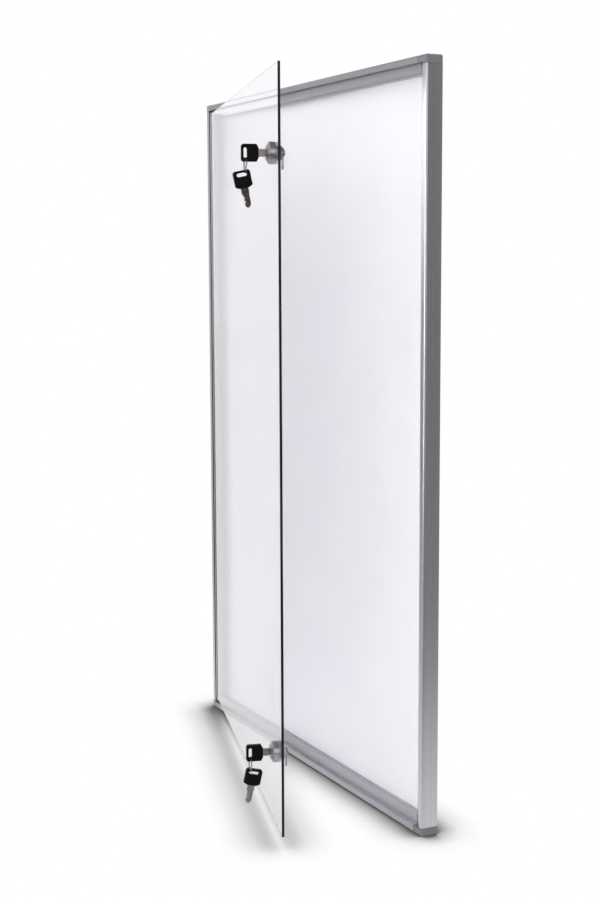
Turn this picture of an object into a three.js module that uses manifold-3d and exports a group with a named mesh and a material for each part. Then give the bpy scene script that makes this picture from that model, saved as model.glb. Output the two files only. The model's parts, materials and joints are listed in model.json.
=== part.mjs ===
// Lockable notice board: an aluminium frame round a white magnetic panel, with a clear
// hinged sheet for a door and two cam locks.
//
// Millimetres, +Z up, the board faces -Y and hangs on a wall at y = 0. The origin lies on the
// wall, at mid-width, in the middle of the top rail's bearing face above its screw hole.
//
// Every piece is drawn on the board's own axes first: x and z from the middle of the board,
// y backwards from the front of the frame.

import * as THREE from 'three';
import { mergeVertices } from 'three/addons/utils/BufferGeometryUtils.js';
import Module from 'manifold-3d';

const wasm = await Module();
wasm.setup();

// Whole board
const boardWidth = 600;
const boardHeight = 900;
const doorRestAngle = 16.75;
const seamGap = 0.2;
const overrun = 2;

// Fineness of the facets
const bigRoundSides = 36;
const smallRoundSides = 24;
const holeSides = 20;
const cornerSteps = 4;
const arcStep = 20;

// White panel: enamelled steel face, fibre core and metal backing, laid face to face
const faceSheetThickness = 0.5;
const coreThickness = 3.7;
const backingThickness = 0.3;
const panelThickness = faceSheetThickness + coreThickness + backingThickness;

// Frame profile. Across its section u runs inwards from the outer edge and v runs backwards
// from the front.
const profileWall = 1.3;
const profileWidth = 20.5;
const lipWidth = 8;
const rebateDepth = 6;
const recessDepth = 9;
const outerEdgeRadius = 2.5;
const lipEdgeRadius = 0.6;
const ledgeEdgeRadius = 2;
const rearFlangeReach = 18;
const panelFront = rebateDepth + recessDepth;
const grooveFront = panelFront - seamGap;
const grooveBack = panelFront + panelThickness + seamGap;
const profileDepth = grooveBack + profileWall;

// Wall fixing: an access hole in the ledge, closed by a push-in cap, and a screw hole behind it
const capLipGap = 0.5;
const capRadius = (profileWidth - ledgeEdgeRadius - lipWidth - capLipGap) / 2;
const fixingInset = lipWidth + capLipGap + capRadius;
const capThickness = 1.5;
const capSkirtStep = 0.7;
const capSkirtRadius = capRadius - capSkirtStep;
const capSkirtWall = 1.1;
const capSkirtLength = 4.5;
const capBeadHeight = 0.8;
const capBeadReach = 0.3;
const accessHoleRadius = capRadius + seamGap;
const screwHoleRadius = 2.5;
const panelHoleRadius = 2.8;
const panelHoleMargin = 0.7;
const grooveFloor = fixingInset - panelHoleRadius - panelHoleMargin;
const bearingInset = (fixingInset - screwHoleRadius) / 2;

// Plastic corner pieces: each covers a stile's end across its whole width, is as high
// as the panel's groove is deep, and has two barbed legs that push into the chamber behind the lip
const cornerHeight = grooveFloor;
const cornerPlanRadius = 2.5;
const legLength = 24;
const legGap = 0.3;
const legWeld = 0.6;
const legTipTaper = 1;
const legTipLength = 4;
const barbCount = 4;
const barbDepth = 0.4;
const barbStart = 5;
const barbRampShare = 0.5;

// Hinge: a round bead along the door's profile turns in a round socket along the stile. The
// socket's mouth is given by two angles round its axis, from the closed door towards the front.
const hingeInset = 11;
const hingeDepth = 3;
const socketRadius = 3;
const socketWall = 0.8;
const socketWeld = 0.6;
const mouthStart = -16;
const mouthEnd = 111;
const beadGap = 0.2;
const beadEndGap = 0.6;
const neckThickness = 1;

// Clear door sheet
const sheetThickness = 3;
const sheetArris = 0.3;
const sheetFront = 1;
const doorSideInset = 14;
const doorEndInset = 15;
const doorRise = 2;
const doorHeight = boardHeight - 2 * doorEndInset;

// Door hinge profile, which grips the sheet's edge: a short lip in front, a wide leaf behind
const gripStart = 3.4;
const gripWall = 1;
const gripFrontWall = 0.7;
const gripFrontReach = 6;
const gripLeafWall = 1.2;
const gripLeafReach = 22;
const gripCornerRadius = 1.5;
const gripGap = 0.1;

// Cam lock. Its sizes run along the lock's axis, backwards from the front of the door sheet.
const lockEdgeInset = 18;
const lockEndInset = 96.5;
const housingRadius = 12.4;
const housingProud = 10.8;
const housingFaceRadius = 7.2;
const housingConeLength = 3.2;
const housingEdge = 0.5;
const plugHeadRadius = 5.6;
const plugHeadLength = 1.4;
const plugRadius = 4.7;
const plugEdge = 0.4;
const runningGap = 0.2;
const barrelWall = 1;
const sheetHoleRadius = plugRadius + runningGap + barrelWall + runningGap;
const washerRadius = 8.6;
const washerThickness = 0.7;
const nutAcrossFlats = 15;
const nutThickness = 2.9;
const nutChamfer = 0.6;
const keywayWidth = 2.6;
const keywayHeight = 7.8;
const keywayClearance = 0.4;
const tenonSide = 5.6;
const camThickness = 1.5;
const camLength = 18.5;
const camWidth = 9;
const camHubRadius = 6;
const camSlotGap = 0.6;
const camScrewHeadRadius = 4.6;
const camScrewHeadHeight = 2.4;
const camScrewRadius = 1.6;
const camScrewLength = 2.6;
const camScrewHoleRadius = 1.8;
const crossLength = 4.4;
const crossWidth = 0.9;
const crossDepth = 1.1;

// Key: a flat blade in a moulded head. Along the key a runs from the head's shoulder to the
// tip, and b runs across it.
const keyHeadLength = 19.2;
const keyHeadHeight = 19.2;
const keyHeadThickness = 6;
const keyHeadEdge = 0.8;
const keyHeadCornerRadius = 2.8;
const keyShoulderRun = 2.2;
const keyShoulderHeight = 11;
const keySlotWidth = 4;
const keySlotLength = 11.8;
const keySlotInset = 4.6;
const bladeThickness = 2;
const bladeShow = 7.9;
const bladeLength = 21.4;
const bladeNeckHeight = 8.4;
const bladeHeight = 7.2;
const bladeStopLength = 6.4;
const bladeStopRun = 0.6;
const bladeTipRun = 3.2;
const bladeTipHeight = 2.4;
const bladeTangLength = 10.5;
const bladeTangHeight = 8;
const tangGap = 0.2;
const bladeGrooveWidth = 1.5;
const bladeGrooveDepth = 0.5;
const bladeGrooveRise = 1.2;
const bittingDepthShares = [0.14, 0.3, 0.2, 0.36, 0.16];
const bittingRampShare = 0.4;

// Key ring and the spare key that hangs on it. A spare hangs by one end of its slot, so it
// tilts: the upper one with its tip towards the door, the lower one with its tip away from it.
const ringInnerRadius = 8;
const ringWireRadius = 0.6;
const ringWireSides = 8;
const ringSteps = 40;
const spareHangOffset = 4.3;
const upperSpareTilt = 11.8;
const lowerSpareTilt = -12.2;

// Colours and finishes
const aluminium = new THREE.MeshStandardMaterial({ color: 0xb7b6bb, roughness: 0.38, metalness: 1 });
const cornerPlastic = new THREE.MeshStandardMaterial({ color: 0x77747a, roughness: 0.55, metalness: 0 });
const whiteEnamel = new THREE.MeshStandardMaterial({ color: 0xf3f3f7, roughness: 0.12, metalness: 0 });
const fibreBoard = new THREE.MeshStandardMaterial({ color: 0x9a7d5c, roughness: 0.9, metalness: 0 });
const capPlastic = new THREE.MeshStandardMaterial({ color: 0xaba8ae, roughness: 0.5, metalness: 0 });
const zincPlate = new THREE.MeshStandardMaterial({ color: 0xa9adb1, roughness: 0.45, metalness: 1 });
const clearSheet = new THREE.MeshStandardMaterial({
  color: 0xece8ed,
  roughness: 0.05,
  metalness: 0,
  transparent: true,
  opacity: 0.35,
});
const satinChrome = new THREE.MeshStandardMaterial({ color: 0xa2a0a4, roughness: 0.32, metalness: 1 });
const brightSteel = new THREE.MeshStandardMaterial({ color: 0xc3c2c4, roughness: 0.22, metalness: 1 });
const nickelSilver = new THREE.MeshStandardMaterial({ color: 0xb5aca4, roughness: 0.3, metalness: 1 });
const blackPlastic = new THREE.MeshStandardMaterial({ color: 0x0b0b0d, roughness: 0.4, metalness: 0 });

// Places worked out from the sizes above
const halfWidth = boardWidth / 2;
const halfHeight = boardHeight / 2;
const ringRadius = ringInnerRadius + ringWireRadius;
const gripBackInner = sheetFront + sheetThickness - hingeDepth + gripGap;
const gripFrontInner = sheetFront - hingeDepth - gripGap;
const stileLength = boardHeight - 2 * (cornerHeight + seamGap);
const railLength = boardWidth - 2 * (profileWidth + seamGap);
const socketBore = socketRadius - socketWall;
const beadRadius = socketBore - beadGap;
const beadLength = stileLength - 2 * beadEndGap;
const sheetStart = gripStart + gripWall + gripGap;
const sheetReach = boardWidth - doorSideInset - hingeInset;
const lockReach = sheetReach - lockEdgeInset;
const lockHeight = doorHeight / 2 - lockEndInset;
const barrelRadius = plugRadius + runningGap + barrelWall;
const washerStart = sheetThickness + runningGap;
const nutStart = washerStart + washerThickness + runningGap;
const barrelEnd = nutStart + nutThickness;
const camStart = barrelEnd + runningGap;
const camEnd = camStart + camThickness;
const shankEnd = barrelEnd + runningGap / 2;
const tenonEnd = camEnd - runningGap / 2;
const keyOrigin = -(housingProud + bladeShow);
const bladeTipPlace = keyOrigin + bladeLength;
const keywayEnd = bladeTipPlace + keywayClearance;
const slotPlace = -(keyHeadLength - keySlotInset);
const webHalf = keyHeadThickness / 2 - keyHeadEdge;
const ringSag = ringInnerRadius - Math.sqrt(ringInnerRadius ** 2 - webHalf ** 2);
const wireSeat = ringSag + seamGap + ringWireRadius;

// Axes of a section that is drawn in the y-z plane and pushed out along x
const alongX = new THREE.Matrix4().makeBasis(
  new THREE.Vector3(0, 1, 0),
  new THREE.Vector3(0, 0, 1),
  new THREE.Vector3(1, 0, 0),
);

// Axes of an outline that is drawn in the x-z plane and pushed out along -y
const alongY = new THREE.Matrix4().makeBasis(
  new THREE.Vector3(1, 0, 0),
  new THREE.Vector3(0, 0, 1),
  new THREE.Vector3(0, -1, 0),
);

// A quarter turn about y that stands a piece drawn along x upright
const turnedUp = new THREE.Matrix4().makeBasis(
  new THREE.Vector3(0, 0, 1),
  new THREE.Vector3(0, 1, 0),
  new THREE.Vector3(-1, 0, 0),
);

function radians(degrees) {
  return THREE.MathUtils.degToRad(degrees);
}

function solidOf(geometry) {
  const bare = geometry.clone();
  bare.deleteAttribute('normal');
  bare.deleteAttribute('uv');
  const merged = mergeVertices(bare);
  const mesh = new wasm.Mesh({
    numProp: 3,
    vertProperties: new Float32Array(merged.attributes.position.array),
    triVerts: new Uint32Array(merged.index.array),
  });
  return new wasm.Manifold(mesh);
}

function geometryOf(solid) {
  const mesh = solid.getMesh();
  const geometry = new THREE.BufferGeometry();
  geometry.setAttribute('position', new THREE.BufferAttribute(mesh.vertProperties, 3));
  geometry.setIndex(new THREE.BufferAttribute(mesh.triVerts, 1));
  const faceted = geometry.toNonIndexed();
  faceted.computeVertexNormals();
  return faceted;
}

function cut(geometry, tools) {
  const solid = tools.reduce((left, tool) => left.subtract(solidOf(tool)), solidOf(geometry));
  return geometryOf(solid);
}

function join(geometry, pieces) {
  const solid = pieces.reduce((left, piece) => left.add(solidOf(piece)), solidOf(geometry));
  return geometryOf(solid);
}

function meet(geometry, pieces) {
  const solid = pieces.reduce((left, piece) => left.intersect(solidOf(piece)), solidOf(geometry));
  return geometryOf(solid);
}

function boxBetween(low, high) {
  const size = new THREE.Vector3().subVectors(high, low);
  const middle = new THREE.Vector3().addVectors(low, high).multiplyScalar(1 / 2);
  return new THREE.BoxGeometry(size.x, size.y, size.z).translate(middle.x, middle.y, middle.z);
}

function vec(x, y, z) {
  return new THREE.Vector3(x, y, z);
}

function pushOut(shape, length) {
  const settings = { depth: length, steps: 1, bevelEnabled: false };
  return new THREE.ExtrudeGeometry(shape, settings).translate(0, 0, -length / 2);
}

// Points of an arc, the end points included
function arc(centreU, centreV, radius, startDegrees, endDegrees) {
  const steps = Math.ceil(Math.abs(endDegrees - startDegrees) / arcStep);
  const points = [];
  for (let step = 0; step <= steps; step += 1) {
    const angle = radians(startDegrees + ((endDegrees - startDegrees) * step) / steps);
    points.push([centreU + radius * Math.cos(angle), centreV + radius * Math.sin(angle)]);
  }
  return points;
}

function revolve(points, sides) {
  const closed = [...points, points[0]];
  return new THREE.LatheGeometry(closed.map(([r, y]) => new THREE.Vector2(r, y)), sides);
}

function revolveSolid(points, sides) {
  return new THREE.LatheGeometry(points.map(([r, y]) => new THREE.Vector2(r, y)), sides);
}

function piece(name, geometry, material) {
  const mesh = new THREE.Mesh(geometry, material);
  mesh.name = name;
  return mesh;
}

// Frame profile: the outline with its rebate and panel groove, and the three hollow chambers

function profileOutline() {
  return [
    [0, profileDepth],
    ...arc(outerEdgeRadius, outerEdgeRadius, outerEdgeRadius, 180, 270),
    ...arc(lipWidth - lipEdgeRadius, lipEdgeRadius, lipEdgeRadius, -90, 0),
    [lipWidth, rebateDepth],
    ...arc(profileWidth - ledgeEdgeRadius, rebateDepth + ledgeEdgeRadius, ledgeEdgeRadius, -90, 0),
    [profileWidth, grooveFront],
    [grooveFloor, grooveFront],
    [grooveFloor, grooveBack],
    [rearFlangeReach, grooveBack],
    [rearFlangeReach, profileDepth],
  ];
}

function profileChambers() {
  const legChamber = [
    [profileWall, grooveFront - profileWall],
    ...arc(outerEdgeRadius, outerEdgeRadius, outerEdgeRadius - profileWall, 180, 270),
    [lipWidth - profileWall, profileWall],
    [lipWidth - profileWall, grooveFront - profileWall],
  ];
  const ledgeChamber = [
    [lipWidth, grooveFront - profileWall],
    [lipWidth, rebateDepth + profileWall],
    [profileWidth - ledgeEdgeRadius, rebateDepth + profileWall],
    [profileWidth - profileWall, rebateDepth + ledgeEdgeRadius],
    [profileWidth - profileWall, grooveFront - profileWall],
  ];
  const rearChamber = [
    [profileWall, profileDepth - profileWall],
    [profileWall, grooveFront],
    [grooveFloor - profileWall, grooveFront],
    [grooveFloor - profileWall, profileDepth - profileWall],
  ];
  return [legChamber, ledgeChamber, rearChamber];
}

function shapeOf(points, toPlane) {
  return new THREE.Shape(points.map(toPlane));
}

function hollowProfile(toPlane, length) {
  const bar = pushOut(shapeOf(profileOutline(), toPlane), length);
  const hollows = profileChambers().map((points) => pushOut(shapeOf(points, toPlane), length + overrun));
  return cut(bar, hollows);
}

function stileProfile(side) {
  const toPlane = ([u, v]) => new THREE.Vector2(side * (halfWidth - u), v);
  return hollowProfile(toPlane, stileLength);
}

function railProfile(side) {
  const toPlane = ([u, v]) => new THREE.Vector2(v, side * (halfHeight - u));
  return hollowProfile(toPlane, railLength).applyMatrix4(alongX);
}

function roundHole(radius, yFrom, yTo, z) {
  const length = yTo - yFrom;
  return new THREE.CylinderGeometry(radius, radius, length, holeSides).translate(0, yFrom + length / 2, z);
}

// A rail stands between the stiles, with its two holes for the wall screw and for reaching it
function rail(side) {
  const fixingHeight = side * (halfHeight - fixingInset);
  const chamberMiddle = (rebateDepth + grooveFront) / 2;
  return cut(railProfile(side), [
    roundHole(accessHoleRadius, rebateDepth - overrun, chamberMiddle, fixingHeight),
    roundHole(screwHoleRadius, chamberMiddle, profileDepth + overrun, fixingHeight),
  ]);
}

// Slots in the inner wall of the lock stile, one for each cam, as long as the cam's sweep
function lockStile() {
  const wallReach = doorSideInset + lockEdgeInset - profileWidth;
  const sweep = Math.sqrt(camLength ** 2 - wallReach ** 2);
  const wallPlace = halfWidth - profileWidth;
  const tools = [-1, 1].map((end) => {
    const axisPlace = end * lockHeight + doorRise;
    return boxBetween(
      vec(wallPlace - overrun, sheetFront + camStart - camSlotGap, axisPlace - sweep - camSlotGap),
      vec(
        wallPlace + profileWall + seamGap,
        sheetFront + camEnd + camSlotGap,
        axisPlace + camWidth / 2 + camSlotGap,
      ),
    );
  });
  return cut(stileProfile(1), tools);
}

// The socket stands in the rebate's corner and is one piece with the lip and the ledge
function hingeSocket() {
  const lipFace = lipWidth - hingeInset - socketWeld;
  const ledgeFace = rebateDepth - hingeDepth + socketWeld;
  const points = [
    ...arc(0, 0, socketRadius, -mouthEnd, -180),
    [lipFace, 0],
    [lipFace, ledgeFace],
    [0, ledgeFace],
    ...arc(0, 0, socketRadius, 90, -mouthStart),
    ...arc(0, 0, socketBore, -mouthStart, 360 - mouthEnd),
  ];
  const toPlane = ([a, b]) => new THREE.Vector2(a, b);
  return pushOut(shapeOf(points, toPlane), stileLength).translate(hingeInset - halfWidth, hingeDepth, 0);
}

function hingeStile() {
  return join(stileProfile(-1), [hingeSocket()]);
}

// Corner piece, drawn at the lower left. It carries the profile's lip and ledge on round the
// corner, its outer edges are rounded like the profile's, and it has two legs.

function edgeSection(reach) {
  return new THREE.Shape([
    [0, profileDepth],
    ...arc(outerEdgeRadius, outerEdgeRadius, outerEdgeRadius, 180, 270),
    [reach, 0],
    [reach, profileDepth],
  ].map(([u, v]) => new THREE.Vector2(u, v)));
}

function cornerBlock() {
  const lipPlan = new THREE.Shape([
    ...arc(cornerPlanRadius, cornerPlanRadius, cornerPlanRadius, 180, 270),
    [cornerHeight, 0],
    [cornerHeight, lipWidth],
    [lipWidth, lipWidth],
    [lipWidth, profileWidth],
    [0, profileWidth],
  ].map(([up, across]) => new THREE.Vector2(up, across)));
  const reach = profileDepth + overrun;
  const planSolid = pushOut(lipPlan, reach + overrun)
    .translate(0, 0, reach / 2)
    .applyMatrix4(new THREE.Matrix4().makeBasis(vec(0, 0, 1), vec(1, 0, 0), vec(0, 1, 0)));
  const sideSolid = pushOut(edgeSection(profileWidth), cornerHeight + overrun)
    .translate(0, 0, (cornerHeight - overrun) / 2);
  const endSolid = pushOut(edgeSection(cornerHeight), profileWidth + overrun)
    .translate(0, 0, (profileWidth - overrun) / 2)
    .applyMatrix4(turnedUp)
    .translate(profileWidth, 0, 0);
  const ledge = boxBetween(
    vec(outerEdgeRadius, rebateDepth, outerEdgeRadius),
    vec(profileWidth, profileDepth, cornerHeight),
  );
  return join(meet(planSolid, [sideSolid, endSolid]), [ledge]);
}

// One leg along x, from the block's face at the given start, barbed on one side and tapered
// at its tip
function cornerLeg(face) {
  const low = profileWall + legGap + barbDepth;
  const high = lipWidth - profileWall - legGap;
  const start = face - legWeld;
  const end = face + legLength;
  const barbRun = (legLength - legTipLength - barbStart) / barbCount;
  const points = [[start, high], [start, low]];
  for (let index = 0; index < barbCount; index += 1) {
    const from = face + barbStart + index * barbRun;
    points.push([from, low], [from, low - barbDepth], [from + barbRun * barbRampShare, low]);
  }
  points.push([end - legTipLength, low], [end, low + legTipTaper]);
  points.push([end, high - legTipTaper], [end - legTipLength, high]);
  const front = outerEdgeRadius;
  const back = grooveFront - profileWall - legGap;
  const toPlane = ([a, b]) => new THREE.Vector2(a, b);
  return pushOut(new THREE.Shape(points.map(toPlane)), back - front)
    .applyMatrix4(alongY)
    .translate(0, (front + back) / 2, 0);
}

function cornerPiece(sideX, sideZ) {
  const legAcross = cornerLeg(profileWidth);
  const legUp = cornerLeg(cornerHeight).applyMatrix4(turnedUp).translate(lipWidth, 0, 0);
  let solid = solidOf(join(cornerBlock(), [legAcross, legUp]));
  if (sideX > 0) {
    solid = solid.mirror([1, 0, 0]);
  }
  if (sideZ > 0) {
    solid = solid.mirror([0, 0, 1]);
  }
  return geometryOf(solid).translate(sideX * halfWidth, 0, sideZ * halfHeight);
}

// Panel layers, cut away round the two wall screws

function panelLayer(front, thickness) {
  const inset = grooveFloor + seamGap;
  const reachX = halfWidth - inset;
  const reachZ = halfHeight - inset;
  const shape = new THREE.Shape([
    new THREE.Vector2(-reachX, -reachZ),
    new THREE.Vector2(reachX, -reachZ),
    new THREE.Vector2(reachX, reachZ),
    new THREE.Vector2(-reachX, reachZ),
  ]);
  for (const side of [-1, 1]) {
    const hole = new THREE.Path();
    hole.absarc(0, side * (halfHeight - fixingInset), panelHoleRadius, 0, 2 * Math.PI);
    shape.holes.push(hole);
  }
  return pushOut(shape, thickness).applyMatrix4(alongY).translate(0, front + thickness / 2, 0);
}

// Push-in cap: flush with the ledge, with a skirt whose bead snaps behind it
function fixingCap(side) {
  const top = rebateDepth;
  const under = rebateDepth + profileWall + seamGap;
  const foot = top + capThickness + capSkirtLength;
  const snapRadius = accessHoleRadius + capBeadReach;
  const snapBack = under + capBeadHeight;
  const points = [
    [0, top],
    [capRadius, top],
    [capRadius, under],
    [snapRadius, under + capBeadHeight / 2],
    [capSkirtRadius, snapBack],
    [capSkirtRadius, foot],
    [capSkirtRadius - capSkirtWall, foot],
    [capSkirtRadius - capSkirtWall, top + capThickness],
    [0, top + capThickness],
  ];
  return revolveSolid(points, smallRoundSides).translate(0, 0, side * (halfHeight - fixingInset));
}

// Door, drawn from the hinge axis: x along the door, y backwards

function gripSection() {
  const frontOuter = gripFrontInner - gripFrontWall;
  const backOuter = gripBackInner + gripLeafWall;
  const cornerU = gripStart + gripCornerRadius;
  const cornerV = frontOuter + gripCornerRadius;
  return new THREE.Shape([
    [gripStart + gripFrontReach, gripFrontInner],
    [gripStart + gripFrontReach, frontOuter],
    ...arc(cornerU, cornerV, gripCornerRadius, -90, -180),
    [gripStart, backOuter],
    [gripStart + gripLeafReach, backOuter],
    [gripStart + gripLeafReach, gripBackInner],
    [gripStart + gripWall, gripBackInner],
    [gripStart + gripWall, gripFrontInner],
  ].map(([u, v]) => new THREE.Vector2(u, v)));
}

// The bead runs on past the door at both ends, to stand between the corner pieces
function doorHingeProfile() {
  const bead = new THREE.CylinderGeometry(beadRadius, beadRadius, beadLength, smallRoundSides)
    .rotateX(radians(90))
    .translate(0, 0, -doorRise);
  const neck = boxBetween(
    vec(beadRadius / 2, -neckThickness / 2, -doorHeight / 2),
    vec(gripStart + gripWall / 2, neckThickness / 2, doorHeight / 2),
  );
  return join(pushOut(gripSection(), doorHeight), [bead, neck]);
}

function doorSheet() {
  const half = doorHeight / 2;
  const shape = new THREE.Shape([
    new THREE.Vector2(sheetStart, -half),
    new THREE.Vector2(sheetReach, -half),
    new THREE.Vector2(sheetReach, half),
    new THREE.Vector2(sheetStart, half),
  ]);
  for (const end of [-1, 1]) {
    const hole = new THREE.Path();
    hole.absarc(lockReach, end * lockHeight, sheetHoleRadius, 0, 2 * Math.PI);
    shape.holes.push(hole);
  }
  const settings = {
    depth: sheetThickness - 2 * sheetArris,
    steps: 1,
    curveSegments: smallRoundSides,
    bevelEnabled: true,
    bevelThickness: sheetArris,
    bevelSize: sheetArris,
    bevelOffset: -sheetArris,
    bevelSegments: 1,
  };
  return new THREE.ExtrudeGeometry(shape, settings)
    .translate(0, 0, sheetArris)
    .applyMatrix4(alongY)
    .translate(0, sheetFront - hingeDepth + sheetThickness, 0);
}

// Lock pieces, drawn from the lock's axis at the front of the sheet: y backwards

function lockHousing() {
  const front = -housingProud;
  const counterbore = plugHeadRadius + runningGap;
  const bore = plugRadius + runningGap;
  return revolve([
    [counterbore, front],
    [housingFaceRadius, front],
    [housingRadius - housingEdge, front + housingConeLength],
    [housingRadius, front + housingConeLength + housingEdge],
    [housingRadius, -runningGap - housingEdge],
    [housingRadius - housingEdge, -runningGap],
    [barrelRadius, -runningGap],
    [barrelRadius, barrelEnd],
    [bore, barrelEnd],
    [bore, front + plugHeadLength + runningGap],
    [counterbore, front + plugHeadLength + runningGap],
  ], bigRoundSides);
}

function lockPlug() {
  const front = -housingProud;
  const body = revolveSolid([
    [0, front],
    [plugHeadRadius - plugEdge, front],
    [plugHeadRadius, front + plugEdge],
    [plugHeadRadius, front + plugHeadLength],
    [plugRadius, front + plugHeadLength],
    [plugRadius, shankEnd],
    [0, shankEnd],
  ], smallRoundSides);
  const tenon = boxBetween(
    vec(-tenonSide / 2, shankEnd - overrun, -tenonSide / 2),
    vec(tenonSide / 2, tenonEnd, tenonSide / 2),
  );
  const keyway = boxBetween(
    vec(-keywayWidth / 2, front - overrun, -keywayHeight / 2),
    vec(keywayWidth / 2, keywayEnd, keywayHeight / 2),
  );
  const screwHoleLength = camScrewLength + runningGap + overrun;
  const screwHole = new THREE.CylinderGeometry(
    camScrewHoleRadius,
    camScrewHoleRadius,
    screwHoleLength,
    holeSides,
  ).translate(0, tenonEnd + overrun - screwHoleLength / 2, 0);
  return cut(join(body, [tenon]), [keyway, screwHole]);
}

function lockWasher() {
  return revolve([
    [sheetHoleRadius, washerStart],
    [washerRadius, washerStart],
    [washerRadius, washerStart + washerThickness],
    [sheetHoleRadius, washerStart + washerThickness],
  ], smallRoundSides * 2);
}

// Hexagon nut, its corners turned off to a cone on both faces
function lockNut() {
  const corner = nutAcrossFlats / 2 / Math.cos(radians(30));
  const middle = nutStart + nutThickness / 2;
  const hexagon = new THREE.CylinderGeometry(corner, corner, nutThickness, 6)
    .rotateY(radians(30))
    .translate(0, middle, 0);
  const turned = revolve([
    [sheetHoleRadius, nutStart],
    [corner - nutChamfer, nutStart],
    [corner, nutStart + nutChamfer],
    [corner, barrelEnd - nutChamfer],
    [corner - nutChamfer, barrelEnd],
    [sheetHoleRadius, barrelEnd],
  ], bigRoundSides);
  return meet(hexagon, [turned]);
}

function lockCam() {
  const tipRadius = camWidth / 2;
  const shape = new THREE.Shape();
  const hubAngle = Math.asin(tipRadius / camHubRadius);
  const hubFoot = -camHubRadius * Math.cos(hubAngle);
  shape.moveTo(tipRadius, hubFoot);
  shape.absarc(0, 0, camHubRadius, hubAngle - Math.PI / 2, 3 * Math.PI / 2 - hubAngle, false);
  shape.absarc(0, tipRadius - camLength, tipRadius, Math.PI, 2 * Math.PI, false);
  shape.closePath();
  const holeHalf = tenonSide / 2 + runningGap;
  shape.holes = [new THREE.Path([
    new THREE.Vector2(-holeHalf, -holeHalf),
    new THREE.Vector2(holeHalf, -holeHalf),
    new THREE.Vector2(holeHalf, holeHalf),
    new THREE.Vector2(-holeHalf, holeHalf),
  ])];
  return pushOut(shape, camThickness).applyMatrix4(alongY).translate(0, camStart + camThickness / 2, 0);
}

function camScrew() {
  const seat = camEnd + runningGap;
  const top = seat + camScrewHeadHeight;
  const dome = arc(0, 0, 1, 0, 90)
    .map(([across, along]) => [camScrewHeadRadius * across, seat + camScrewHeadHeight * along]);
  const body = revolveSolid([
    [0, seat - camScrewLength],
    [camScrewRadius, seat - camScrewLength],
    [camScrewRadius, seat],
    ...dome,
  ], smallRoundSides);
  const crossHalf = crossLength / 2;
  const armHalf = crossWidth / 2;
  const cross = [[crossHalf, armHalf], [armHalf, crossHalf]].map(([x, z]) => boxBetween(
    vec(-x, top - crossDepth, -z),
    vec(x, top + overrun, z),
  ));
  return cut(body, cross);
}

// Key, drawn from the head's shoulder: a along y towards the tip, b along z

function keyHead() {
  const half = keyHeadHeight / 2;
  const outer = -keyHeadLength;
  const radius = keyHeadCornerRadius;
  const shape = new THREE.Shape();
  shape.moveTo(0, -keyShoulderHeight / 2);
  shape.lineTo(0, keyShoulderHeight / 2);
  shape.lineTo(-keyShoulderRun, half);
  shape.lineTo(outer + radius, half);
  shape.absarc(outer + radius, half - radius, radius, Math.PI / 2, Math.PI, false);
  shape.absarc(outer + radius, radius - half, radius, Math.PI, 3 * Math.PI / 2, false);
  shape.lineTo(-keyShoulderRun, -half);
  shape.closePath();
  const slot = new THREE.Path();
  const endRadius = keySlotWidth / 2;
  const endPlace = keySlotLength / 2 - endRadius;
  slot.absarc(slotPlace, endPlace, endRadius, 0, Math.PI, false);
  slot.absarc(slotPlace, -endPlace, endRadius, Math.PI, 2 * Math.PI, false);
  shape.holes = [slot];
  const settings = {
    depth: keyHeadThickness - 2 * keyHeadEdge,
    steps: 1,
    curveSegments: cornerSteps,
    bevelEnabled: true,
    bevelThickness: keyHeadEdge,
    bevelSize: keyHeadEdge,
    bevelOffset: -keyHeadEdge,
    bevelSegments: 2,
  };
  const moulded = new THREE.ExtrudeGeometry(shape, settings)
    .translate(0, 0, keyHeadEdge - keyHeadThickness / 2)
    .applyMatrix4(alongX);
  const pocketHalf = bladeThickness / 2 + tangGap;
  const pocket = boxBetween(
    vec(-pocketHalf, -bladeTangLength - tangGap, -bladeTangHeight / 2 - tangGap),
    vec(pocketHalf, overrun, bladeTangHeight / 2 + tangGap),
  );
  return cut(moulded, [pocket]);
}

// Blade outline: tang, stop shoulder, then the bitting cut as notches into its lower edge
function keyBlade() {
  const half = bladeHeight / 2;
  const neckHalf = bladeNeckHeight / 2;
  const tangHalf = bladeTangHeight / 2;
  const bitStart = bladeStopLength + bladeStopRun;
  const bitEnd = bladeLength - bladeTipRun;
  const points = [
    [-bladeTangLength, tangHalf],
    [tangGap, tangHalf],
    [tangGap, neckHalf],
    [bladeStopLength, neckHalf],
    [bitStart, half],
    [bitEnd, half],
    [bladeLength, bladeTipHeight / 2],
    [bladeLength, -bladeTipHeight / 2],
  ];
  const pitch = (bitEnd - bitStart) / bittingDepthShares.length;
  bittingDepthShares.toReversed().forEach((share, index) => {
    const right = bitEnd - index * pitch;
    const floor = -half + share * bladeHeight;
    const ramp = pitch * bittingRampShare;
    points.push([right, -half], [right - ramp, floor], [right - pitch + ramp, floor]);
  });
  points.push([bitStart, -half], [bladeStopLength, -neckHalf], [tangGap, -neckHalf]);
  points.push([tangGap, -tangHalf], [-bladeTangLength, -tangHalf]);
  const shape = new THREE.Shape(points.map(([a, b]) => new THREE.Vector2(a, b)));
  const blank = pushOut(shape, bladeThickness).applyMatrix4(alongX);
  const grooves = [-1, 1].map((side) => {
    const outer = side * (bladeThickness / 2 + overrun);
    const floor = side * (bladeThickness / 2 - bladeGrooveDepth);
    const middle = bladeGrooveRise * (side > 0 ? 1 : 2);
    return boxBetween(
      vec(Math.min(outer, floor), bitStart, middle - bladeGrooveWidth / 2),
      vec(Math.max(outer, floor), bladeLength + overrun, middle + bladeGrooveWidth / 2),
    );
  });
  return cut(blank, grooves);
}

function keyRing() {
  return new THREE.TorusGeometry(ringRadius, ringWireRadius, ringWireSides, ringSteps)
    .rotateX(radians(90));
}

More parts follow.
